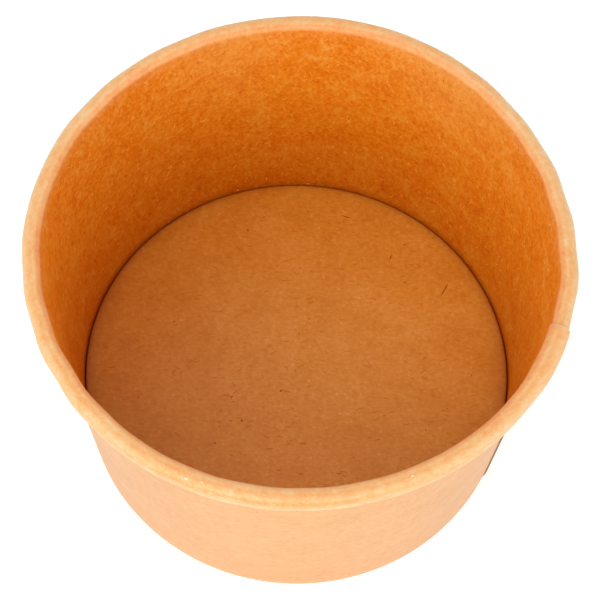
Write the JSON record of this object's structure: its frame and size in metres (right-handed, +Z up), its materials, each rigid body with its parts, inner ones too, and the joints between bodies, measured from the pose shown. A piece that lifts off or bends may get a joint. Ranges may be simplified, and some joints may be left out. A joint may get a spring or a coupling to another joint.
{
  "type": "paper ice cream tub",
  "caption": "Round, slightly tapered kraft paperboard tub with a rolled rim, a lapped side seam and a recessed base; open top, no lid.",
  "frame": {"origin": "centre of the base, on the surface that the tub stands on", "axes": "+Z up along the tub's axis, out of its open mouth; the inner end of the lapped side seam lies 15 degrees round from +X towards -Y, and the outer end about 24 degrees"},
  "size_m": [0.096, 0.096, 0.0603],
  "materials": {
    "kraft_wall": "unbleached kraft paperboard, matt outside, thin clear lining inside",
    "kraft_base": "unbleached kraft paperboard, satin, with loose fibres and flecks"
  },
  "bodies": {
    "root": {"side_wall": "kraft_wall", "bottom_disc": "kraft_base"}
  },
  "joints": []
}
